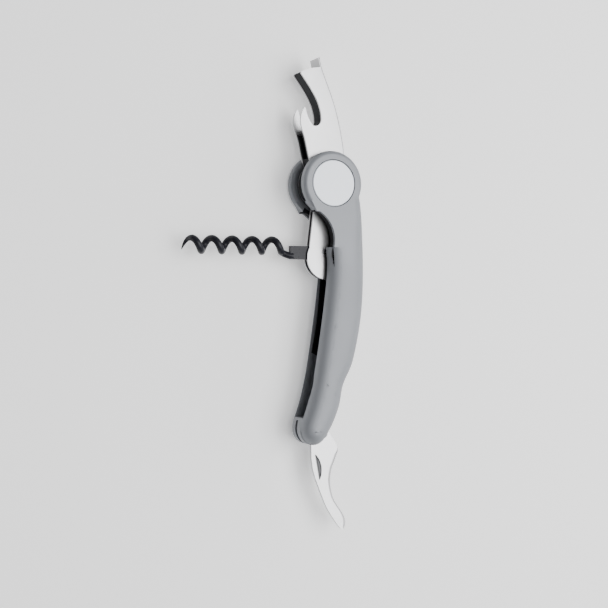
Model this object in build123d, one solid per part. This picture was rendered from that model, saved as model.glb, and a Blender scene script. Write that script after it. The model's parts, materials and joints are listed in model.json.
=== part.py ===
from build123d import *
import os
from math import cos, hypot, pi, sin, sqrt

# Waiter's corkscrew lying on its side. Millimetres and degrees.
# The lever's pivot is the origin, +X runs to the knife, +Y to the handle's back and +Z is the
# sideways direction of the tool, which is also the direction of all its hinges.
# Heights given to slab() are measured from the tool's mid-plane, which is MID above the table.

# Handle
THICKNESS = 19.0        # across the two pivot caps
HEAD_R = 14.2           # round head about the lever's pivot
HANDLE_REACH = 114.7    # lever pivot to the end of the nose
GRIP_ROUND = 5.0        # rounding of the grip's outer edges
HEAD_ROUND = 2.0        # rounding of the head's rim
RIM_ROUND = 2.0         # rounding of the head's inner rim, beside the lever
SHELL_WALL = 1.6        # shell wall round the frames near the mid-plane
SHELL_SHOULDER = 4.2    # and further out, where the grip's edge is rounded
SHELL_SKIN = 1.7        # shell wall over the frames, across the tool
CHEEK_GAP = 9.0         # between the two cheeks of the head, and the width of the worm slot
SLIT = 2.0              # slit for the blade between the shells
CUTOUT_R = 14.0         # hollow of the front edge between head and slot
STEP_X = 28.0           # where the hollow ends and the slot's rim begins
LEDGE = 1.2             # wall between the slot's end and the slit in the nose

# Sheet parts
SHEET = 1.0             # steel of the lever and of the bracket
LEVER_PLAY = 0.2        # each side, between the lever's plates and the cheeks
LEVER_HUB_R = 11.0
LINER_WALL = 1.0        # side walls of the lever's liner
SHANK = 2.0             # flat shank of the worm
SHANK_PLAY = 0.1        # each side, between the bracket's plates

# Pins, bushes, washers and caps
BARREL_R = 3.0
BUSH_WALL = 1.0
RUN = 0.05              # radial clearance of everything that turns
CAP_R = 10.0
CAP_DEPTH = 2.0
CAP_GROOVE = 0.4
PIVOT_HEAD_R = 4.5
PIVOT_HEAD = 1.2
PIVOT_THREAD_R = 1.75
WASHER_R = 9.0
WASHER_PLAY = 0.02      # each face of a washer
RIVET_R = 1.5
PIN_R = 1.5
STOP_PIN_R = 1.0
PIN_REACH = 6.3         # of the hidden pins, each way from the mid-plane

# Worm
WIRE_R = 1.5
COIL_R = 2.7            # of the wire's centre line
TURNS = 4.9
TIP_TURNS = 0.45        # share of a turn over which the wire is ground to a point
COIL_START = 20.4       # from the worm's pivot to the first turn
COIL_OFFSET = 2.4       # worm's axis ahead of its pivot, towards the lever
COIL_END_GAP = 7.05     # from the point of the folded worm to the slot's end
POINT_R = 0.12

# Knife
BLADE = 1.5
TANG_R = 5.4
BLADE_STOP_X = 63.5     # where the point of the folded blade rests
TOOTH = 0.9             # spacing of the serrations
TOOTH_R = 0.34
NICK_DEPTH = 0.35

# Leaf springs
LEVER_SPRING = 0.8
WORM_SPRING = 0.6

MID = THICKNESS / 2
GAP = CHEEK_GAP / 2
LEVER_HALF = GAP - LEVER_PLAY
LINER_HALF = LEVER_HALF - SHEET
SHANK_HALF = SHANK / 2
BRACKET_IN = SHANK_HALF + SHANK_PLAY
BRACKET_OUT = BRACKET_IN + SHEET
BORE_R = LEVER_HUB_R + 1.6          # round room for the hub between the cheeks
FRAME_TOP = MID - SHELL_SKIN
FRAME_SHOULDER = FRAME_TOP - 2.6
CAP_SEAT = MID - CAP_DEPTH
WORM_PIVOT = (STEP_X + 1.9, -0.57)
KNIFE_PIVOT = (HANDLE_REACH - 5.2, -3.5)
SLOT_END_X = KNIFE_PIVOT[0] - 7.0
PITCH = (SLOT_END_X - WORM_PIVOT[0] - COIL_START - COIL_END_GAP) / TURNS
BLADE_REACH = KNIFE_PIVOT[0] - BLADE_STOP_X
BRACKET_PINS = ((22.0, 8.3), (38.0, 8.3))
WEB = ((-55.6, -4.1), (-51.0, -3.0), (-41.6, 0.8), (-30.9, 4.5), (-23.6, 6.3), (-13.8, 7.9))
DOWELS = ((49.0, 9.8), (57.5, 8.8))
STOP_PIN = (KNIFE_PIVOT[0] - 2.9, KNIFE_PIVOT[1] - 6.6)
LEVER_SPRING_HALF = BRACKET_OUT + 0.3


def slab(face, low, high):
    """The face as a solid between two heights above the mid-plane."""
    return Pos(0, 0, MID + low) * extrude(face, high - low)


def disc(place, radius, low, high):
    """An upright cylinder between two heights above the mid-plane."""
    return slab(Pos(*place) * Circle(radius), low, high)


def tube(place, outer, inner, low, high):
    """A disc with a round hole through it."""
    return disc(place, outer, low, high) - disc(place, inner, low, high)


def block_face(x0, x1, y0, y1):
    """A rectangle between two places along the tool and two across it."""
    return Pos((x0 + x1) / 2, (y0 + y1) / 2) * Rectangle(x1 - x0, y1 - y0)


def block(x0, x1, y0, y1, low, high):
    """An upright box between two heights above the mid-plane."""
    return slab(block_face(x0, x1, y0, y1), low, high)


def flipped(solid):
    """The same piece for the other side of the tool."""
    return mirror(solid, about=Plane.XY.offset(MID))


def on_rim(share):
    """X at a share of the way from the step to the end of the worm slot."""
    return STEP_X + share * (SLOT_END_X - STEP_X)


# ---------------------------------------------------------------- handle

def hollow_centre():
    """Centre of the front hollow: its arc touches the head's circle from outside."""
    reach = HEAD_R + CUTOUT_R
    return reach * 0.88, -reach * 0.475


def edge_points():
    """Points of the grip's edge: out of the head, along the slot's rim, round the nose and up the back."""
    x = KNIFE_PIVOT[0]
    front = [
        (8.0, -10.6), (18.0, -5.4), (STEP_X, -1.9), (on_rim(0.24), -1.9), (on_rim(0.62), -5.9), (on_rim(0.97), -12.0)
    ]
    nose = [(x - 1.2, -13.8), (x + 4.0, -10.8), (x + 4.6, -5.2), (x, -0.4), (x - 7.0, 3.3)]
    back = [
        (x - 13.5, 5.5), (x - 19.0, 6.5), (x - 23.5, 8.2), (x - 27.6, 10.4), (on_rim(0.62), 12.9),
        (on_rim(0.44), 15.6), (on_rim(0.16), 17.0), (10.0, 15.1), (-0.664 * HEAD_R, 0.748 * HEAD_R),
    ]
    return front + nose + back


def inset(points, wall):
    """The inner points of a line, each moved square to its neighbours, to the line's left."""
    moved = []
    for before, here, after in zip(points, points[1:], points[2:]):
        run, rise = after[0] - before[0], after[1] - before[1]
        length = hypot(run, rise)
        moved.append((here[0] - wall * rise / length, here[1] + wall * run / length))
    return moved


def grip_face():
    """The grip before the hollow is cut, closed by a straight line inside the head."""
    line = Spline(*edge_points())
    return make_face([line, Line(line @ 1, line @ 0)])


def step_top():
    """Where the front hollow ends, above the step."""
    centre = hollow_centre()
    return STEP_X, centre[1] + sqrt(CUTOUT_R**2 - (STEP_X - centre[0])**2)


def hollow_face():
    """What the front hollow takes away: under its arc from the head to the step."""
    centre = hollow_centre()
    touch = (0.88 * HEAD_R, -0.475 * HEAD_R)
    halfway = (centre[0] - CUTOUT_R / 2, centre[1] + CUTOUT_R * sqrt(0.75))
    return make_face([
        ThreePointArc(touch, halfway, step_top()),
        Polyline(step_top(), (STEP_X, -20.0), (touch[0], -20.0), touch),
    ])


def handle_blank():
    """Upper half of the handle's outer form, its edges rounded."""
    grip = slab(grip_face(), 0, MID)
    rim = [edge for edge in grip.faces().sort_by(Axis.Z)[-1].edges() if edge.geom_type != GeomType.LINE]
    grip = fillet(rim, GRIP_ROUND)
    flat = Pos(STEP_X / 2, -3.0) * Rectangle(STEP_X, 18.0)
    grip += slab(grip_face() & flat, 0, MID)
    head = disc((0, 0), HEAD_R, 0, MID)
    head = fillet(head.edges().sort_by(Axis.Z)[-1], HEAD_ROUND)
    return grip + head - slab(hollow_face(), 0, MID)


def slot_face():
    """Room for the folded worm, open at the handle's front."""
    return make_face(Polyline(
        (8.0, -24.0), (8.0, 5.6), (44.0, 5.6), (52.0, 3.0), (SLOT_END_X, -2.6), (SLOT_END_X, -24.0), close=True
    ))


def slit_face():
    """Room for the blade: the whole nose and the back as far as the folded point."""
    x = KNIFE_PIVOT[0]
    return make_face(Polyline(
        (SLOT_END_X + LEDGE, -24.0), (SLOT_END_X + LEDGE, -9.6), (x - 16.0, -9.6), (x - 24.0, -2.5),
        (BLADE_STOP_X - 2.0, 5.6), (BLADE_STOP_X - 2.0, 24.0), (x + 20.0, 24.0), (x + 20.0, -24.0), close=True
    ))


def head_room_face():
    """Room between the cheeks for the lever: round its hub, and open at the top and the front."""
    top = Pos(-20.5, 0) * Rectangle(27.0, 60.0)
    front = Pos(-2.0, -15.0) * Rectangle(20.0, 30.0)
    return Circle(BORE_R) + top + front


def frame_face(wall):
    """Side view of the frames: the handle inside its wall, breaking out along the front hollow."""
    points = edge_points()
    front = [(STEP_X + wall, 0.0)] + inset(points[2:6], wall)
    back = inset(points[13:], wall)
    room = make_face([
        Spline(*front),
        Line(front[-1], back[0]),
        Spline(*back),
        Polyline(
            back[-1], (4.5, 12.3), (4.5, -5.0), (14.0, -9.5), (STEP_X - 1.0, -1.6), step_top(), front[0]
        ),
    ])
    return room - Circle(BORE_R)


def frame_room():
    """The frames' outer form: full width along the hollow, stepped in under the rounded edges."""
    return slab(frame_face(SHELL_WALL), 0, FRAME_SHOULDER) + slab(frame_face(SHELL_SHOULDER), 0, FRAME_TOP)


def finger_scallop(side):
    """Shallow hollow in the slot's wall where a finger reaches the worm's point."""
    radius, depth = 30.0, 0.5
    middle = on_rim(0.82)
    axis_z = MID + side * (GAP + depth - radius)
    return Pos(middle, -8.0, axis_z) * Rot(90, 0, 0) * Cylinder(radius, 7.0)


def shell_holes():
    """Bores of the upper shell for the pivot, the pins and the cap."""
    holes = disc((0, 0), BARREL_R, 0, MID)
    holes += disc((0, 0), PIVOT_HEAD_R, CAP_SEAT - PIVOT_HEAD, MID)
    holes += disc((0, 0), CAP_R + CAP_GROOVE, CAP_SEAT, MID)
    holes += disc(KNIFE_PIVOT, PIN_R, 0, PIN_REACH)
    holes += disc(STOP_PIN, STOP_PIN_R, 0, PIN_REACH)
    return holes


def rim_relief():
    """What rounds the cheek's rim on the lever's side."""
    plug = disc((0, 0), HEAD_R, GAP, MID)
    plug = fillet(plug.edges().sort_by(Axis.Z)[0], RIM_ROUND)
    return slab(head_room_face(), GAP, GAP + RIM_ROUND) - plug


def upper_shell():
    """Outer half of the handle with the cheek of the head."""
    shell = handle_blank() - slab(head_room_face(), 0, GAP)
    shell -= rim_relief()
    shell -= frame_room()
    shell -= slab(slot_face(), 0, GAP)
    shell -= slab(slit_face(), 0, SLIT / 2)
    shell -= finger_scallop(1)
    return shell - shell_holes()


def upper_frame():
    """Black frame inside a shell: it carries the bracket, its pins, the springs and the dowels."""
    frame = frame_room() - slab(hollow_face(), 0, MID)
    frame -= slab(slot_face(), 0, GAP)
    frame -= slab(slit_face(), 0, SLIT / 2)
    frame -= slab(bracket_face(), 0, BRACKET_OUT)
    frame -= slab(lever_spring_face(LEVER_SPRING + 0.2), 0, LEVER_SPRING_HALF + 0.1)
    for place in BRACKET_PINS + DOWELS:
        frame -= disc(place, PIN_R, 0, PIN_REACH)
    return frame


# ---------------------------------------------------------------- bracket of the worm

def bracket_face():
    """Side view of a bracket plate: round lobe in front, tail held between the frames."""
    outline = make_face([
        Line((9.4, -5.9), (28.0, -8.2)),
        ThreePointArc((28.0, -8.2), (38.6, -7.0), (42.0, 0.2)),
        Line((42.0, 0.2), (43.6, 11.0)),
        Line((43.6, 11.0), (13.0, 11.0)),
        Line((13.0, 11.0), (9.4, -5.9)),
    ])
    return outline - Circle(LEVER_HUB_R + 0.8)


def bracket_plate():
    """Upper plate of the worm's bracket, with a sunk ring around the rivet."""
    plate = slab(bracket_face(), BRACKET_IN, BRACKET_OUT)
    plate -= disc(WORM_PIVOT, RIVET_R, BRACKET_IN, BRACKET_OUT)
    plate -= disc(WORM_PIVOT, RIVET_R + 0.45, BRACKET_OUT - 0.35, BRACKET_OUT)
    for place in BRACKET_PINS:
        plate -= disc(place, PIN_R, BRACKET_IN, BRACKET_OUT)
    return plate


def bracket_pins():
    return [disc(place, PIN_R, -PIN_REACH, PIN_REACH) for place in BRACKET_PINS]


def bracket_spacers():
    return [tube(place, PIN_R + 1.0, PIN_R, -BRACKET_IN, BRACKET_IN) for place in BRACKET_PINS]


def lever_spring_face(width):
    """Leaf behind the bracket whose free end rides just clear of the lever's hub."""
    return trace(Spline((46.0, 12.6), (30.0, 12.7), (14.0, 11.9), (6.8, 10.2)), width)


def lever_spring():
    return slab(lever_spring_face(LEVER_SPRING), -LEVER_SPRING_HALF, LEVER_SPRING_HALF)


def worm_spring():
    """Bowed leaf between the bracket's plates, held under both spacers, against the worm's eye."""
    leaf = trace(Spline((18.5, 5.3), (24.0, 5.1), (29.9, 3.9), (36.0, 5.1), (41.0, 5.3)), WORM_SPRING)
    return slab(leaf, -SHANK_HALF, SHANK_HALF)


# ---------------------------------------------------------------- pivots, caps, pins

def pivot_barrel():
    """Hollow rivet from below that the lever turns on, with a thread for its screw."""
    barrel = disc((0, 0), BARREL_R, -CAP_SEAT + PIVOT_HEAD, CAP_SEAT - PIVOT_HEAD)
    barrel += disc((0, 0), PIVOT_HEAD_R, -CAP_SEAT, -CAP_SEAT + PIVOT_HEAD)
    return barrel - disc((0, 0), PIVOT_THREAD_R, -PIVOT_HEAD, CAP_SEAT)


def pivot_screw():
    """Flat-headed screw from above, with a driver slot."""
    screw = disc((0, 0), PIVOT_THREAD_R, 0, CAP_SEAT)
    screw += disc((0, 0), PIVOT_HEAD_R, CAP_SEAT - PIVOT_HEAD, CAP_SEAT)
    return screw - block(-PIVOT_HEAD_R, PIVOT_HEAD_R, -0.5, 0.5, CAP_SEAT - PIVOT_HEAD / 2, CAP_SEAT)


def pivot_cap():
    """Large flat cover of the upper cheek, with a small bevel round its edge."""
    cap = disc((0, 0), CAP_R, CAP_SEAT, MID)
    return chamfer(cap.edges().sort_by(Axis.Z)[-1], 0.25)


def pivot_washer():
    return tube((0, 0), WASHER_R, BARREL_R, LEVER_HALF + WASHER_PLAY, GAP - WASHER_PLAY)


def knife_washer():
    return tube(KNIFE_PIVOT, TANG_R - 1.6, PIN_R, BLADE / 2 + WASHER_PLAY, SLIT / 2 - WASHER_PLAY)


def knife_pivot_pin():
    return disc(KNIFE_PIVOT, PIN_R, -PIN_REACH, PIN_REACH)


def knife_stop_pin():
    return disc(STOP_PIN, STOP_PIN_R, -PIN_REACH, PIN_REACH)


def shell_dowels():
    return [disc(place, PIN_R, -PIN_REACH, PIN_REACH) for place in DOWELS]


def worm_rivet():
    """Flush rivet that the worm turns on."""
    return disc(WORM_PIVOT, RIVET_R, -BRACKET_OUT, BRACKET_OUT)


def worm_bush():
    return tube(WORM_PIVOT, RIVET_R + BUSH_WALL, RIVET_R + RUN, -SHANK_HALF, SHANK_HALF)


def lever_bush():
    return tube((0, 0), BARREL_R + RUN + BUSH_WALL, BARREL_R + RUN, -LEVER_HALF, LEVER_HALF)


# ---------------------------------------------------------------- lever

def web_line():
    """Outer face of the lever's web, from its free end down to the head."""
    return Spline(*WEB, (-5.0, 8.6))


def plate_face():
    """Side view of the lever: hub, step with its two prongs, hooked notch, tip and web."""
    web = web_line()
    edges = [
        web,
        Line((-5.0, 8.6), (-6.0, -7.6)),
        Spline((-6.0, -7.6), (-12.0, -9.7), (-21.0, -11.9), (-25.4, -13.3), (-29.0, -13.4), (-32.6, -12.0)),
        ThreePointArc((-32.6, -12.0), (-33.0, -11.6), (-32.6, -11.2)),
        Spline((-32.6, -11.2), (-29.8, -10.4), (-27.4, -9.2), (-25.3, -7.6)),
        ThreePointArc((-25.3, -7.6), (-25.6, -5.0), (-28.2, -3.5)),
        Spline((-28.2, -3.5), (-33.8, -4.5), (-38.7, -6.8), (-43.4, -10.0), (-47.5, -13.1)),
        ThreePointArc((-47.5, -13.1), (-48.2, -13.3), (-48.7, -12.8)),
        Spline((-48.7, -12.8), (-50.3, -8.6), (-51.1, -4.1)),
        Line((-51.1, -4.1), (-55.3, -5.1)),
        Line((-55.3, -5.1), (-55.6, -4.1)),
    ]
    return make_face(edges) + Circle(LEVER_HUB_R)


def behind_web(depth):
    """Everything on the worm's side of a line that lies a depth inside the web's outer face."""
    middle = [(x, y - depth * 1.04) for x, y in WEB[1:-1]]
    inner = Spline((-60.0, -6.3 - depth), *middle, (WEB[-1][0], WEB[-1][1] - depth))
    return make_face([
        inner,
        Line((-13.8, 7.9 - depth), (-13.8, 20.0)),
        Line((-13.8, 20.0), (20.0, 20.0)),
        Line((20.0, 20.0), (20.0, -30.0)),
        Line((20.0, -30.0), (-60.0, -30.0)),
        Line((-60.0, -30.0), (-60.0, -6.3 - depth)),
    ])


def lever_bore():
    return disc((0, 0), BARREL_R + RUN + BUSH_WALL, -LEVER_HALF, LEVER_HALF)


def lever_channel():
    """One folded sheet: two equal plates joined by the web, whose free end is the rim hook."""
    solid = slab(plate_face(), -LEVER_HALF, LEVER_HALF)
    solid = fillet(web_edges(solid), SHEET * 0.9)
    solid -= slab(behind_web(SHEET), -LINER_HALF, LINER_HALF)
    return solid - lever_bore()


def web_edges(solid):
    """The two long outer edges of the web, where the sheet is folded."""
    probe = web_line() @ 0.5
    near = [edge for edge in solid.edges() if edge.geom_type == GeomType.BSPLINE]
    near.sort(key=lambda edge: min(
        edge.distance_to(Vertex(probe.X, probe.Y, MID + side * LEVER_HALF)) for side in (-1, 1)))
    return near[:2]


def liner_face():
    """Side view of the liner: it follows the notch and stops below the prongs."""
    below = make_face([
        Line((-25.2, -30.0), (-25.2, -8.0)),
        ThreePointArc((-25.2, -8.0), (-21.6, -9.6), (-23.6, -13.2)),
        Line((-23.6, -13.2), (-23.6, -30.0)),
        Line((-23.6, -30.0), (-25.2, -30.0)),
    ])
    prongs = block_face(-36.0, -23.6, -30.0, -7.7) + below
    tab = block_face(-60.0, -50.2, -30.0, 10.0)
    return ((plate_face() - prongs - tab) & behind_web(SHEET))


def lever_liner():
    """Black filling between the plates, hollow along its front so that it can straddle the bracket."""
    liner = slab(liner_face(), -LINER_HALF, LINER_HALF)
    hollow = block(-23.0, -LEVER_HUB_R, -30.0, -1.0, LINER_WALL - LINER_HALF, LINER_HALF - LINER_WALL)
    return liner - hollow - lever_bore()


# ---------------------------------------------------------------- worm

def coil_point(turn, radius=COIL_R):
    """A point of the wire's centre line, a number of turns from the coil's start."""
    angle = 2 * pi * turn
    x = WORM_PIVOT[0] - COIL_OFFSET + radius * cos(angle)
    y = WORM_PIVOT[1] - COIL_START - PITCH * turn
    return Vector(x, y, MID + radius * sin(angle))


def coil_tangent(turn):
    """Direction of the wire there."""
    angle = 2 * pi * turn
    run = 2 * pi * COIL_R
    return Vector(-run * sin(angle), -PITCH, run * cos(angle)).normalized()


def wire_section(turn, radius):
    return Plane(origin=coil_point(turn), z_dir=coil_tangent(turn)) * Circle(radius)


def coil():
    """Five turns of round wire, the last part of them ground to a point."""
    ground = TURNS - TIP_TURNS
    axis = Plane(
        origin=(WORM_PIVOT[0] - COIL_OFFSET, WORM_PIVOT[1] - COIL_START, MID), x_dir=(1, 0, 0), z_dir=(0, -1, 0)
    )
    path = axis.location * Helix(PITCH, PITCH * ground, COIL_R)
    body = sweep(wire_section(0, WIRE_R), path=path, is_frenet=True)
    steps = 8
    sections = []
    for step in range(steps + 1):
        share = step / steps
        sections.append(wire_section(ground + TIP_TURNS * share, WIRE_R + (POINT_R - WIRE_R) * share))
    return body + loft(sections)


def worm():
    """Wire coil with a flattened shank and a round eye for its pivot."""
    start = coil_point(0)
    x0 = WORM_PIVOT[0] - 2.6
    x1 = WORM_PIVOT[0] + 3.3
    end_y = WORM_PIVOT[1] - 16.4
    shank = block(x0, x1, end_y, WORM_PIVOT[1], -SHANK_HALF, SHANK_HALF)
    shank += disc(WORM_PIVOT, RIVET_R + BUSH_WALL + 1.3, -SHANK_HALF, SHANK_HALF)
    root = Vector(x1 - WIRE_R, end_y + 1.4, MID)
    lead = Bezier(root, root + Vector(0, -2.6, 0), start - coil_tangent(0) * 2.2, start)
    neck = sweep(Plane(origin=root, z_dir=(0, -1, 0)) * Circle(WIRE_R), path=lead, is_frenet=True)
    piece = shank + neck + coil()
    return piece - disc(WORM_PIVOT, RIVET_R + BUSH_WALL, -SHANK_HALF, SHANK_HALF)


# ---------------------------------------------------------------- knife

def along_blade(share, y):
    """A place on the blade: share of its reach beyond the pivot, and distance from the pivot's line."""
    return KNIFE_PIVOT[0] + share * BLADE_REACH, KNIFE_PIVOT[1] + y


def blade_edge():
    """Hollow cutting edge from the heel to the tip."""
    return Spline(
        along_blade(0.19, 9.9), along_blade(0.28, 8.5), along_blade(0.36, 7.0), along_blade(0.47, 6.3),
        along_blade(0.57, 6.8), along_blade(0.67, 8.4), along_blade(0.80, 12.4),
    )


def blade_face():
    """Side view of the blade and its round tang."""
    tang = (KNIFE_PIVOT[0] - 1.0, KNIFE_PIVOT[1] - 4.6)
    spine = Spline(
        tang, along_blade(0.11, -3.5), along_blade(0.27, -3.3), along_blade(0.36, -2.5), along_blade(0.50, -0.2),
        along_blade(0.74, 4.5), along_blade(0.93, 10.6),
    )
    tip = Spline(along_blade(0.93, 10.6), along_blade(0.957, 12.5), along_blade(0.90, 13.6), along_blade(0.80, 12.4))
    heel = Spline(along_blade(0.19, 9.9), along_blade(0.12, 8.9), along_blade(0.0, 4.9))
    return make_face([
        spine, tip, blade_edge(), heel, Line(along_blade(0.0, 4.9), tang),
    ]) + Pos(*KNIFE_PIVOT) * Circle(TANG_R)


def nick_face():
    """Half-moon cut for a finger nail along the spine."""
    ends = (along_blade(0.205, -1.6), along_blade(0.465, 0.6))
    return make_face([ThreePointArc(ends[0], along_blade(0.355, 1.7), ends[1]), Line(*ends)])


def knife_blade():
    """Foil blade with fine serrations along its hollow edge."""
    blade = slab(blade_face(), -BLADE / 2, BLADE / 2)
    edge = blade_edge()
    for number in range(1, int(edge.length * 0.86 / TOOTH)):
        place = edge.position_at(number * TOOTH / edge.length)
        blade -= disc((place.X, place.Y), TOOTH_R, -BLADE / 2, BLADE / 2)
    blade -= slab(nick_face(), BLADE / 2 - NICK_DEPTH, BLADE / 2)
    return blade - disc(KNIFE_PIVOT, PIN_R + RUN, -BLADE / 2, BLADE / 2)


# ---------------------------------------------------------------- write

def pieces():
    """Every node's name and its solid, or its group of solids."""
    shell, frame, plate = upper_shell(), upper_frame(), bracket_plate()
    cap, washer, thin_washer = pivot_cap(), pivot_washer(), knife_washer()
    return {
        "upper_shell": shell, "lower_shell": flipped(shell),
        "upper_frame": frame, "lower_frame": flipped(frame),
        "upper_bracket_plate": plate, "lower_bracket_plate": flipped(plate),
        "bracket_spacers": bracket_spacers(), "bracket_pins": bracket_pins(),
        "worm_rivet": worm_rivet(), "worm_spring": worm_spring(), "lever_spring": lever_spring(),
        "pivot_barrel": pivot_barrel(), "pivot_screw": pivot_screw(),
        "upper_pivot_cap": cap, "lower_pivot_cap": flipped(cap),
        "upper_pivot_washer": washer, "lower_pivot_washer": flipped(washer),
        "knife_pivot_pin": knife_pivot_pin(), "knife_stop_pin": knife_stop_pin(),
        "upper_knife_washer": thin_washer, "lower_knife_washer": flipped(thin_washer),
        "shell_dowels": shell_dowels(),
        "lever_channel": lever_channel(), "lever_liner": lever_liner(), "lever_bush": lever_bush(),
        "worm": worm(), "worm_bush": worm_bush(),
        "knife_blade": knife_blade(),
    }


def main():
    os.makedirs("parts", exist_ok=True)
    for name, shape in pieces().items():
        if isinstance(shape, list):
            shape = Compound(children=shape)
        export_step(shape, f"parts/{name}.step")


main()
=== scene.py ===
import json
import math

import bmesh
import bpy
import numpy as np
from mathutils import Matrix, Vector


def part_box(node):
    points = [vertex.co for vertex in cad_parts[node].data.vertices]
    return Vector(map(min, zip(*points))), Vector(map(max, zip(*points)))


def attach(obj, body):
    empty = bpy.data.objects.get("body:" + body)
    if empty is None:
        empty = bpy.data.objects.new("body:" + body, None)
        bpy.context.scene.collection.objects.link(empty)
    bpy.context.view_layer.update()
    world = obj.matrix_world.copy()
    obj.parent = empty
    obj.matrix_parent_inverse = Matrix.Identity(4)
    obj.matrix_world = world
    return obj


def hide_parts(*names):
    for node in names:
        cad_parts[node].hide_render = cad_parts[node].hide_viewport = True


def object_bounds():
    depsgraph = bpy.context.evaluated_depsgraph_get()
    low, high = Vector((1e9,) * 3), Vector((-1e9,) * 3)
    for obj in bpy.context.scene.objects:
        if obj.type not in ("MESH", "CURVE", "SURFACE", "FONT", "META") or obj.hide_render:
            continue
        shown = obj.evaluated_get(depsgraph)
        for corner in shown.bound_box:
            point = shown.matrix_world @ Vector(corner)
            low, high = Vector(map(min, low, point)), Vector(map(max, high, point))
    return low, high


# The looks of a waiter's corkscrew that lies on its side. Metres, in the CAD model's own frame:
# +Z up and along every hinge, +X towards the knife, +Y towards the handle's back.

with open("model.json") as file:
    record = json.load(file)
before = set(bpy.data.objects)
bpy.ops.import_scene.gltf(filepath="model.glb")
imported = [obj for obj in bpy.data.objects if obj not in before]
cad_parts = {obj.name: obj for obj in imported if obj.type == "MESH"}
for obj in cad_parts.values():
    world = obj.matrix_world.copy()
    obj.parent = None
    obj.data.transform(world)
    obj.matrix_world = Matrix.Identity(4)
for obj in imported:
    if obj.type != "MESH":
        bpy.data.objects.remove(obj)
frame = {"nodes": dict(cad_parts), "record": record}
CAD_BOUNDS = [[float(v) for v in corner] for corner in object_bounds()]

MM = 0.001
MID_Z = (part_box("upper_shell")[1].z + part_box("lower_shell")[0].z) / 2
MERGE = 1e-6            # points of a CAD mesh closer than this are one point
SMOOTH_ANGLE = 32.0     # edges flatter than this are shaded smooth


# ---------------------------------------------------------------- shader helpers

class Value:
    """A number that varies over a surface: it wraps a socket, and arithmetic adds Math nodes."""

    def __init__(self, shader, socket):
        self.shader = shader
        self.socket = socket

    def join(self, operation, other, reflected=False):
        pair = (other, self) if reflected else (self, other)
        return self.shader.add("ShaderNodeMath", {"operation": operation}, {0: pair[0], 1: pair[1]})

    def __add__(self, other):
        return self.join("ADD", other)

    def __sub__(self, other):
        return self.join("SUBTRACT", other)

    def __rsub__(self, other):
        return self.join("SUBTRACT", other, True)

    def __mul__(self, other):
        return self.join("MULTIPLY", other)

    def __pow__(self, other):
        return self.join("POWER", other)


class Shader:
    """One material and the nodes that feed its Principled BSDF."""

    def __init__(self, name, **constants):
        self.material = bpy.data.materials.new(name)
        self.material.use_nodes = True
        self.tree = self.material.node_tree
        self.surface = self.tree.nodes["Principled BSDF"]
        for key, value in constants.items():
            self.surface.inputs[key.replace("_", " ")].default_value = value
        self.place = self.tree.nodes.new("ShaderNodeTexCoord").outputs["Object"]

    @classmethod
    def around(cls, material):
        """The same helper for a material that is already made."""
        shader = cls.__new__(cls)
        shader.material, shader.tree = material, material.node_tree
        shader.surface = shader.tree.nodes["Principled BSDF"]
        shader.place = next(node for node in shader.tree.nodes if node.type == "TEX_COORD").outputs["Object"]
        return shader

    def add(self, kind, settings, inputs, output=0):
        """Adds a node: its settings first, then the values or links of its sockets."""
        node = self.tree.nodes.new(kind)
        for key, value in settings.items():
            setattr(node, key, value)
        for key, value in inputs.items():
            self.feed(node.inputs[key], value)
        return Value(self, node.outputs[output])

    def feed(self, socket, value):
        if isinstance(value, Value):
            self.tree.links.new(value.socket, socket)
        elif isinstance(value, bpy.types.NodeSocket):
            self.tree.links.new(value, socket)
        else:
            socket.default_value = value

    def set(self, name, value):
        self.feed(self.surface.inputs[name], value)
        return self

    def stretched(self, scale, turn=0.0):
        """Object coordinates scaled by axis, after a turn about Z."""
        turned = self.add(
            "ShaderNodeMapping", {"vector_type": "TEXTURE"}, {"Vector": self.place, "Rotation": (0, 0, turn)}
        )
        return self.add("ShaderNodeMapping", {}, {"Vector": turned, "Scale": scale})

    def noise(self, scale, detail=3.0, where=None, roughness=0.5):
        inputs = {"Scale": scale, "Detail": detail, "Roughness": roughness, "Vector": where or self.place}
        return self.add("ShaderNodeTexNoise", {}, inputs)

    def mix(self, share, first, second):
        return self.add(
            "ShaderNodeMix", {"data_type": "RGBA", "clamp_factor": True}, {0: share, 6: first, 7: second}, 2
        )

    def between(self, value, low, high, to_low=0.0, to_high=1.0):
        inputs = {"Value": value, "From Min": low, "From Max": high, "To Min": to_low, "To Max": to_high}
        return self.add("ShaderNodeMapRange", {"clamp": True}, inputs)

    def bump(self, height, strength, distance):
        inputs = {"Height": height, "Strength": strength, "Distance": distance}
        self.set("Normal", self.add("ShaderNodeBump", {}, inputs))
        return self


def rgb(red, green, blue):
    return (red, green, blue, 1.0)


# ---------------------------------------------------------------- camera, light, floor

FRONT_GLOW = 0.06       # the room's light from the worm's side
BACK_GLOW = 0.5         # and from behind the handle
ROOM_FRONT, ROOM_BACK = -0.75, 0.6      # directions, along Y, between which it changes
FLOOR_GLOW = 0.35       # a back-lit pale table
FLOOR_HALF = 1.2
FLOOR_DROP = 0.0004     # below the tool, so that the two never share a plane


def studio():
    """Pale floor."""
    signs = ((-1, -1), (1, -1), (1, 1), (-1, 1))
    mesh = bpy.data.meshes.new("floor")
    mesh.from_pydata([(x * FLOOR_HALF, y * FLOOR_HALF, 0) for x, y in signs], [], [(0, 1, 2, 3)])
    floor = bpy.data.objects.new("floor", mesh)
    bpy.context.scene.collection.objects.link(floor)
    floor.location.z = CAD_BOUNDS[0][2] - FLOOR_DROP
    paint = Shader(
        "floor_white", Base_Color=rgb(0.93, 0.93, 0.93), Roughness=0.9, Emission_Color=rgb(1, 1, 1),
        Emission_Strength=FLOOR_GLOW
    )
    floor.data.materials.append(paint.material)


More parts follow.
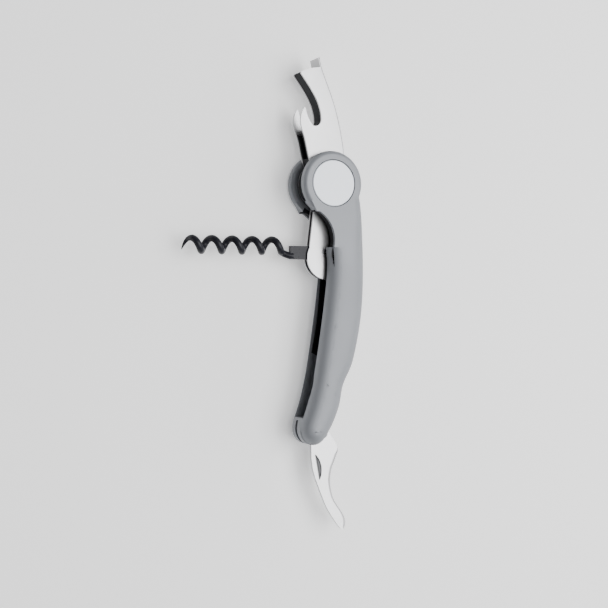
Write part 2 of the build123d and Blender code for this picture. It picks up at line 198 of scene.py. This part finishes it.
def area_light(name, place, target, size, power, colour=(1, 1, 1)):
    light = bpy.data.lights.new(name, "AREA")
    light.shape = "RECTANGLE"
    light.size, light.size_y = size
    light.energy = power
    light.color = colour
    holder = bpy.data.objects.new(name, light)
    bpy.context.scene.collection.objects.link(holder)
    holder.location = place
    holder.rotation_euler = (Vector(target) - Vector(place)).to_track_quat("-Z", "Y").to_euler()


def lights():
    """A soft box and a low strip behind the handle, a wash from above, and a room that dims to the front."""
    middle = Vector((0.05, 0.0, MID_Z))
    area_light("soft_box", (0.05, 0.42, 0.72), middle, (0.9, 0.45), 6.0)
    area_light("back_strip", (0.05, 0.55, 0.18), middle, (0.7, 0.15), 1.2)
    area_light("floor_wash", (0.05, 0.1, 1.1), middle, (0.8, 0.8), 9.0)
    world = bpy.data.worlds.new("studio")
    world.use_nodes = True
    tree = world.node_tree
    place = tree.nodes.new("ShaderNodeTexCoord")
    split = tree.nodes.new("ShaderNodeSeparateXYZ")
    ramp = tree.nodes.new("ShaderNodeMapRange")
    ramp.inputs["From Min"].default_value = ROOM_FRONT
    ramp.inputs["From Max"].default_value = ROOM_BACK
    ramp.inputs["To Min"].default_value = FRONT_GLOW
    ramp.inputs["To Max"].default_value = BACK_GLOW
    tree.links.new(place.outputs["Generated"], split.inputs["Vector"])
    tree.links.new(split.outputs["Y"], ramp.inputs["Value"])
    tree.links.new(ramp.outputs["Result"], tree.nodes["Background"].inputs["Strength"])
    tree.nodes["Background"].inputs["Color"].default_value = (0.97, 0.98, 1.0, 1.0)
    bpy.context.scene.world = world


VIEW_TILT = math.radians(24.9)      # between the hinges' direction and the line of sight
VIEW_DISTANCE = 0.506
VIEW_CENTRE = (51.0 * MM, -9.63 * MM)
LENS = 68.1


def camera():
    """Looks down on the tool from the worm's side, with the lever at the top of the picture."""
    data = bpy.data.cameras.new("camera")
    data.lens = LENS
    data.sensor_width = 36.0
    data.dof.use_dof = False
    data.shift_x = -0.0013
    data.shift_y = -0.0066
    holder = bpy.data.objects.new("camera", data)
    bpy.context.scene.collection.objects.link(holder)
    sight = Vector((0.0, math.sin(VIEW_TILT), -math.cos(VIEW_TILT)))
    centre = Vector((VIEW_CENTRE[0], VIEW_CENTRE[1], MID_Z))
    up = Vector((-1.0, 0.0, 0.0))
    side = sight.cross(up).normalized()
    turn = Matrix((side, up, -sight)).transposed()
    holder.matrix_world = Matrix.Translation(centre - sight * VIEW_DISTANCE) @ turn.to_4x4()
    bpy.context.scene.camera = holder


# ---------------------------------------------------------------- finishes

def satin_paint():
    """Silver-grey satin paint: fine metallic grain, slight handling wear."""
    shader = Shader("satin_paint", Metallic=0.3)
    grain = shader.noise(2600.0, 2.0)
    cloud = shader.noise(45.0, 3.0)
    tone = grain * 0.25 + cloud * 0.35
    shader.set("Base Color", shader.mix(tone, rgb(0.215, 0.225, 0.243), rgb(0.265, 0.275, 0.297)))
    shader.set("Roughness", shader.between(cloud + grain * 0.3, 0.35, 0.9, 0.46, 0.56))
    shader.bump(grain, 0.06, 0.0001)
    return shader.material


def black_nylon():
    """Black moulded nylon with a faint spark-eroded texture."""
    shader = Shader("black_nylon", Specular_IOR_Level=0.2)
    grain = shader.noise(1500.0, 3.0)
    shader.set("Base Color", shader.mix(grain, rgb(0.008, 0.008, 0.010), rgb(0.018, 0.018, 0.021)))
    shader.set("Roughness", shader.between(grain, 0.3, 0.7, 0.6, 0.75))
    shader.bump(grain, 0.15, 0.0001)
    return shader.material


def brushed_steel(name, direction, light=0.47, scale=9000.0):
    """Stainless sheet brushed along one direction: long fine scratches in tone, gloss and height."""
    shader = Shader(name, Metallic=1.0)
    scratch = shader.noise(1.0, 4.0, shader.stretched((scale * 0.02, scale, scale), direction), 0.6)
    cloud = shader.noise(60.0, 2.0)
    dark = rgb(light * 0.86, light * 0.86, light * 0.87)
    pale = rgb(light * 1.1, light * 1.1, light * 1.12)
    shader.set("Base Color", shader.mix(scratch * 0.7 + cloud * 0.3, dark, pale))
    shader.set("Roughness", shader.between(scratch, 0.3, 0.7, 0.28, 0.44))
    shader.bump(scratch, 0.08, 0.00005)
    return shader.material


def blade_steel_with_nick_shade():
    """Brushed blade steel, with painted shade that darkens the floor of the nick almost to black."""
    material = brushed_steel("blade_steel", math.radians(10), 0.5, 12000.0)
    shader = Shader.around(material)
    split = shader.tree.nodes.new("ShaderNodeSeparateXYZ")
    shader.tree.links.new(shader.place, split.inputs[0])
    x, y, z = (Value(shader, split.outputs[axis]) * 1000.0 for axis in range(3))
    centre, radius = nick_circle()
    (ax, ay), (bx, by) = NICK_ENDS
    length = math.hypot(bx - ax, by - ay)
    above = (y - ay) * ((bx - ax) / length) - (x - ax) * ((by - ay) / length)
    away = ((x - float(centre[0])) ** 2 + (y - float(centre[1])) ** 2) ** 0.5
    inside = shader.between(float(radius) - away, -0.05, 0.08)
    # painted shade: inside the half moon's arc, above its chord and on the upper face, the steel is darkened
    # towards near-black
    nick_shade_mask = inside * shader.between(above, -0.05, 0.45) * shader.between(z, MID_Z / MM, MID_Z / MM + 0.1)
    steel = shader.surface.inputs["Base Color"].links[0].from_socket
    shader.set("Base Color", shader.mix(nick_shade_mask * 0.93, steel, rgb(0.03, 0.03, 0.032)))
    return material


def cap_finish():
    """Pale satin disc."""
    shader = Shader("cap_finish", Metallic=0.1)
    grain = shader.noise(3000.0, 2.0)
    shader.set("Base Color", shader.mix(grain, rgb(0.86, 0.90, 0.96), rgb(0.90, 0.94, 1.0)))
    shader.set("Roughness", shader.between(grain, 0.3, 0.7, 0.36, 0.46))
    return shader.material


def black_coating():
    """Glossy black non-stick coating, with a slight orange peel."""
    shader = Shader("black_coating", Specular_IOR_Level=0.18)
    peel = shader.noise(900.0, 2.0)
    shader.set("Base Color", shader.mix(peel, rgb(0.010, 0.010, 0.014), rgb(0.018, 0.018, 0.024)))
    shader.set("Roughness", shader.between(peel, 0.3, 0.7, 0.25, 0.34))
    shader.bump(peel, 0.1, 0.0001)
    return shader.material


def plain_metal(name, colour, rough):
    """Turned metal of the pieces inside."""
    shader = Shader(name, Metallic=1.0)
    grain = shader.noise(1200.0, 2.0)
    dark = tuple(part * 0.85 for part in colour)
    shader.set("Base Color", shader.mix(grain, rgb(*dark), rgb(*colour)))
    shader.set("Roughness", shader.between(grain, 0.3, 0.7, rough, rough + 0.1))
    return shader.material


def pale_nylon():
    shader = Shader("pale_nylon")
    grain = shader.noise(800.0, 2.0)
    shader.set("Base Color", shader.mix(grain, rgb(0.45, 0.45, 0.43), rgb(0.55, 0.55, 0.52)))
    shader.set("Roughness", shader.between(grain, 0.3, 0.7, 0.4, 0.5))
    return shader.material


def finishes():
    """The material of each slot in the record."""
    return {
        "handle_silver": satin_paint(),
        "frame_black": black_nylon(),
        "brushed_steel": brushed_steel("brushed_sheet", math.radians(20)),
        "plain_steel": plain_metal("plain_steel", (0.5, 0.5, 0.51), 0.35),
        "polished_steel": plain_metal("rivet_steel", (0.78, 0.78, 0.8), 0.2),
        "spring_steel": plain_metal("spring_steel", (0.35, 0.35, 0.38), 0.3),
        "cap_aluminium": cap_finish(),
        "nylon_washer": pale_nylon(),
        "bush_brass": plain_metal("turned_brass", (0.72, 0.52, 0.24), 0.3),
        "coated_black": black_coating(),
        "blade_steel": blade_steel_with_nick_shade(),
    }


def dress_cad_nodes(materials):
    """Gives every CAD node the material of its slot."""
    slots = {part["node"]: part["material_slot"] for part in frame["record"]["subparts"]}
    for name, node in frame["nodes"].items():
        node.data.materials.clear()
        node.data.materials.append(materials[slots[name]])


# ---------------------------------------------------------------- pieces

CAD_ROUND = 5.0 * MM        # radius of the grip's edges in the CAD model
HALF = 9.5 * MM             # half the handle's thickness
CROWN_GRID = 1.6 * MM
CROWN_FROM, CROWN_TO = 6.0 * MM, 28.0 * MM      # the crown fades in between these places along X
CROWN_POINTS = 600
LEVEL = 0.999               # upright share of a flat top face's normal


def crown_curve():
    """Section of the grip from wall to top: (1 - depth/half)^3 + (height/half)^3 = 1."""
    angle = np.linspace(0.0, math.pi / 2, CROWN_POINTS)
    power = 2.0 / 3.0
    return np.stack([HALF * (1.0 - np.cos(angle) ** power), HALF * np.sin(angle) ** power], axis=1)


def flat_top(work, side):
    """The faces of the grip's flat top."""
    return [face for face in work.faces if side * face.normal.z > LEVEL
            and abs(abs(face.calc_center_median().z - MID_Z) - HALF) < 1e-5]


def crowned(work, side):
    """Draws the grip's rounded edges out into one full curve across the whole width.

    A point that lies a depth inside the outline and a height above the mid-plane goes to the
    nearest point of the crown curve, along the outline's normal and the hinges' direction.
    """
    work.normal_update()
    top = flat_top(work, side)
    for axis, low, high in ((0, CROWN_FROM, CAD_BOUNDS[1][0]), (1, CAD_BOUNDS[0][1], CAD_BOUNDS[1][1])):
        normal = Vector((1, 0, 0)) if axis == 0 else Vector((0, 1, 0))
        for place in np.arange(low, high, CROWN_GRID):
            edges = dict.fromkeys(edge for face in top for edge in face.edges)
            points = dict.fromkeys(vert for face in top for vert in face.verts)
            if not min(v.co[axis] for v in points) < place < max(v.co[axis] for v in points):
                continue
            geometry = top + list(edges) + list(points)
            bmesh.ops.bisect_plane(work, geom=geometry, plane_co=normal * float(place), plane_no=normal)
            top = flat_top(work, side)
    bend = [face for face in work.faces if is_grip_round(face, side)]
    slopes = {}
    for face in bend:
        for vert in face.verts:
            slopes[vert] = slopes.get(vert, Vector()) + face.normal * face.calc_area()
    ridge = np.array([vert.co[:2] for vert in slopes if abs(abs(vert.co.z - MID_Z) - HALF) < 2e-6])
    curve = crown_curve()
    moved = list(slopes)
    flat = [vert for vert in dict.fromkeys(vert for face in top for vert in face.verts) if vert not in slopes]
    place = np.array([vert.co[:] for vert in moved + flat])
    height = np.abs(place[:, 2] - MID_Z)
    rise = np.clip(height[: len(moved)] - (HALF - CAD_ROUND), 0.0, CAD_ROUND)
    depth_bend = CAD_ROUND - np.sqrt(np.maximum(CAD_ROUND**2 - rise**2, 0.0))
    gaps = [np.sqrt(((ridge - point[:2]) ** 2).sum(axis=1)) for point in place[len(moved):]]
    depth_flat = CAD_ROUND + np.array([gap.min() for gap in gaps])
    outward = np.zeros((len(place), 2))
    for row, vert in enumerate(moved):
        way = slopes[vert].xy
        outward[row] = way.normalized() if way.length > 1e-12 else (0.0, 0.0)
    depth = np.concatenate([depth_bend, depth_flat])
    offset = curve[None, :, :] - np.stack([np.minimum(depth, HALF), height], axis=1)[:, None, :]
    best = (offset**2).sum(axis=2).argmin(axis=1)
    shift = offset[np.arange(len(place)), best]
    share = np.clip((place[:, 0] - CROWN_FROM) / (CROWN_TO - CROWN_FROM), 0.0, 1.0)
    share = share * share * (3.0 - 2.0 * share)
    place[:, :2] -= outward * (shift[:, 0] * share)[:, None]
    lift = np.where(np.arange(len(place)) < len(moved), shift[:, 1], drop_at(depth))
    place[:, 2] += side * lift * share
    for vert, spot in zip(moved + flat, place):
        vert.co = spot


def drop_at(depth):
    """How far the crown lies below the flat top, at a depth inside the outline."""
    share = np.clip(1.0 - depth / HALF, 0.0, 1.0)
    return HALF * ((1.0 - share**3) ** (1.0 / 3.0) - 1.0)


def is_grip_round(face, side):
    """True for the faces of the grip's rounded edge: their tilt gives their height."""
    tilt = side * face.normal.z
    height = side * (face.calc_center_median().z - MID_Z)
    return -0.01 < tilt < 0.9995 and abs(height - (HALF - CAD_ROUND) - CAD_ROUND * tilt) < 0.12 * MM


def refined_copy(node_name, body, slot, material):
    """A CAD node's own shape with its points merged and its curved faces shaded smooth."""
    source = frame["nodes"][node_name]
    mesh = source.data.copy()
    work = bmesh.new()
    work.from_mesh(mesh)
    bmesh.ops.remove_doubles(work, verts=work.verts, dist=MERGE)
    if node_name in SHELL_SIDES:
        crowned(work, SHELL_SIDES[node_name])
    smooth_by_angle(work, SMOOTH_ANGLE)
    work.to_mesh(mesh)
    work.free()
    return place_piece(node_name + "_finished", mesh, body, slot, material, node_name)


# The foil blade's two lines, from the tang to the tip, in pairs straight across the blade.
BLADE_SPINE = (
    (112.9, -7.25), (114.6, -7.0), (118.4, -6.95), (121.9, -6.75), (126.0, -6.0), (129.4, -4.9),
    (132.5, -3.7), (138.2, -1.4), (143.5, 1.0), (148.3, 4.1), (152.3, 7.1), (153.4, 8.6),
)
BLADE_EDGE = (
    (112.9, 4.1), (115.0, 5.4), (118.2, 6.4), (122.4, 5.0), (126.1, 3.5), (131.1, 2.8), (135.7, 3.3),
    (140.3, 4.9), (146.3, 8.9), (149.3, 10.15), (151.9, 10.05), (153.3, 9.0),
)
BLADE_HALF = 0.75
BLADE_FROM = 112.95         # X at which the tang gives way to the blade
BLADE_SMOOTH_ANGLE = 24.0
CHAMFER = 0.14              # of the spine and of the blunt part of the edge
BEVEL = 1.35
CUT_HALF = 0.1
TOOTH_PITCH, TOOTH_DEPTH = 0.9, 0.2
TEETH_FROM, TEETH_TO = 0.19, 0.74       # shares of the blade's length, as is the next one
GROUND_FROM = 0.13
BEVEL_STEPS = (0.25, 0.5, 1.0)          # shares of the bevel's width
NICK_ENDS = ((118.9, -5.1), (130.9, -2.9))
NICK_TOP = (125.8, -1.8)
NICK_DEEP = 0.4


def smooth_line(points, count):
    """Catmull-Rom line through the points: each span is a cubic blend of its four neighbours."""
    points = np.asarray(points, dtype=float)
    padded = np.vstack([2 * points[0] - points[1], points, 2 * points[-1] - points[-2]])
    share = np.linspace(0.0, len(points) - 1 - 1e-9, count)
    span = share.astype(int)
    t = (share - span)[:, None]
    a, b, c, d = (padded[span + shift] for shift in range(4))
    return 0.5 * (2 * b + (c - a) * t + (2 * a - 5 * b + 4 * c - d) * t**2 + (3 * b - 3 * c + d - a) * t**3)


def nick_circle():
    """Centre and radius of the circle through the nick's ends and its top."""
    (ax, ay), (bx, by), (cx, cy) = NICK_ENDS[0], NICK_ENDS[1], NICK_TOP
    rows = 2 * np.array([[bx - ax, by - ay], [cx - ax, cy - ay]])
    squares = np.array([bx**2 + by**2 - ax**2 - ay**2, cx**2 + cy**2 - ax**2 - ay**2])
    centre = np.linalg.solve(rows, squares)
    return centre, math.hypot(ax - centre[0], ay - centre[1])


def nick_depth(x, y):
    """Depth of the half moon: none along its chord, deepest along its arc."""
    centre, radius = nick_circle()
    (ax, ay), (bx, by) = NICK_ENDS
    length = math.hypot(bx - ax, by - ay)
    above = ((bx - ax) * (y - ay) - (by - ay) * (x - ax)) / length
    inside = radius - np.hypot(x - centre[0], y - centre[1])
    depth = NICK_DEEP * np.clip(above / 0.9, 0.0, 1.0) * np.clip(inside / 0.12, 0, 1)
    return np.where((above > 0) & (inside > 0), depth, 0.0)


def skin(loops):
    """Quads between neighbouring closed loops, and a face over each end: loops is an array of
    stations by points by XYZ."""
    stations, ring = loops.shape[:2]
    index = np.arange(stations * ring).reshape(stations, ring)
    here, there = index[:-1], index[1:]
    quads = np.stack([here, np.roll(here, -1, 1), np.roll(there, -1, 1), there], axis=-1).reshape(-1, 4)
    faces = quads.tolist() + [index[0][::-1].tolist(), index[-1].tolist()]
    return loops.reshape(-1, 3), faces


def foil_blade():
    """Hollow-ground blade: across each station the section is full thickness from the spine to the
    bevel, then falls in a straight line to the thin cutting edge, which waves in fine teeth."""
    stations, columns = 430, 44
    spine = smooth_line(BLADE_SPINE, stations)
    edge = smooth_line(BLADE_EDGE, stations)
    across = edge - spine
    width = np.linalg.norm(across, axis=1)
    along = np.concatenate([[0.0], np.cumsum(np.linalg.norm(np.diff(edge, axis=0), axis=1))])
    share = np.linspace(0.0, 1.0, stations)
    toothed = np.clip((share - TEETH_FROM) / 0.02, 0, 1) * np.clip((TEETH_TO - share) / 0.03, 0, 1)
    bite = TOOTH_DEPTH * toothed * (0.5 + 0.5 * np.cos(2 * math.pi * along / TOOTH_PITCH))
    ground = np.clip((share - GROUND_FROM) / 0.08, 0, 1) * np.clip((1.0 - share) / 0.08, 0, 1)
    reach = width - bite
    bevel_at = np.maximum(reach - BEVEL * ground, reach * 0.5)
    levels = np.concatenate([[0.0, 0.012], np.linspace(0.04, 0.96, columns - 6), [1.0]])
    flat = bevel_at[:, None] * levels[None, :]
    slope = bevel_at[:, None] + (reach - bevel_at)[:, None] * np.array(BEVEL_STEPS)[None, :]
    distance = np.concatenate([flat, slope], axis=1)
    half = np.full(distance.shape, BLADE_HALF)
    half[:, 0] = BLADE_HALF - CHAMFER
    fall = (BLADE_HALF - CUT_HALF) * ground
    for column, part in zip((-3, -2, -1), BEVEL_STEPS):
        half[:, column] -= fall * part
    half[:, -1] = np.minimum(half[:, -1], BLADE_HALF - CHAMFER)
    spot = spine[:, None, :] + (across / width[:, None])[:, None, :] * distance[:, :, None]
    upper = np.concatenate([spot, half[:, :, None]], axis=2)
    upper[:, :, 2] -= nick_depth(spot[:, :, 0], spot[:, :, 1])
    lower = np.concatenate([spot, -half[:, :, None]], axis=2)[:, ::-1]
    loops = np.concatenate([upper, lower], axis=1) * MM
    loops[:, :, 2] += MID_Z
    return skin(loops)


def knife(material):
    """The foil blade on its round tang, which keeps the CAD model's bore."""
    tang = frame["nodes"]["knife_blade"].data.copy()
    work = bmesh.new()
    work.from_mesh(tang)
    bmesh.ops.remove_doubles(work, verts=work.verts, dist=MERGE)
    everything = list(work.verts) + list(work.edges) + list(work.faces)
    cut = bmesh.ops.bisect_plane(
        work, geom=everything, plane_co=(BLADE_FROM * MM, 0, 0), plane_no=(1, 0, 0), clear_outer=True
    )
    rim = [item for item in cut["geom_cut"] if isinstance(item, bmesh.types.BMEdge)]
    bmesh.ops.holes_fill(work, edges=rim, sides=0)
    work.to_mesh(tang)
    work.clear()
    verts, faces = foil_blade()
    blade = bpy.data.meshes.new("blade_part")
    blade.from_pydata(verts.tolist(), [], faces)
    work.from_mesh(blade)
    bmesh.ops.recalc_face_normals(work, faces=work.faces)
    work.from_mesh(tang)
    mesh = bpy.data.meshes.new("foil_blade")
    smooth_by_angle(work, BLADE_SMOOTH_ANGLE)
    work.to_mesh(mesh)
    work.free()
    return place_piece("foil_blade", mesh, "knife", "blade_steel", material, "knife_blade")


def smooth_by_angle(work, angle):
    limit = math.radians(angle)
    for face in work.faces:
        face.smooth = True
    for edge in work.edges:
        edge.smooth = len(edge.link_faces) == 2 and edge.calc_face_angle(0.0) < limit


def place_piece(name, mesh, body, slot, material, *nodes):
    """Puts a finished mesh in the scene: it rides on a body and stands for CAD nodes."""
    piece = bpy.data.objects.new(name, mesh)
    bpy.context.scene.collection.objects.link(piece)
    mesh.materials.clear()
    mesh.materials.append(material)
    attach(piece, body)
    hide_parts(*nodes)
    return piece


materials = finishes()
studio()
lights()
camera()
dress_cad_nodes(materials)

SHELL_SIDES = {"upper_shell": 1, "lower_shell": -1}
SLOTS = {part["node"]: part["material_slot"] for part in frame["record"]["subparts"]}
BODIES = {node: body for body, nodes in frame["record"]["behaviour"]["bodies"].items() for node in nodes}
knife(materials["blade_steel"])
for node_name in sorted(set(SLOTS) - {"knife_blade"}):
    refined_copy(node_name, BODIES[node_name], SLOTS[node_name], materials[SLOTS[node_name]])
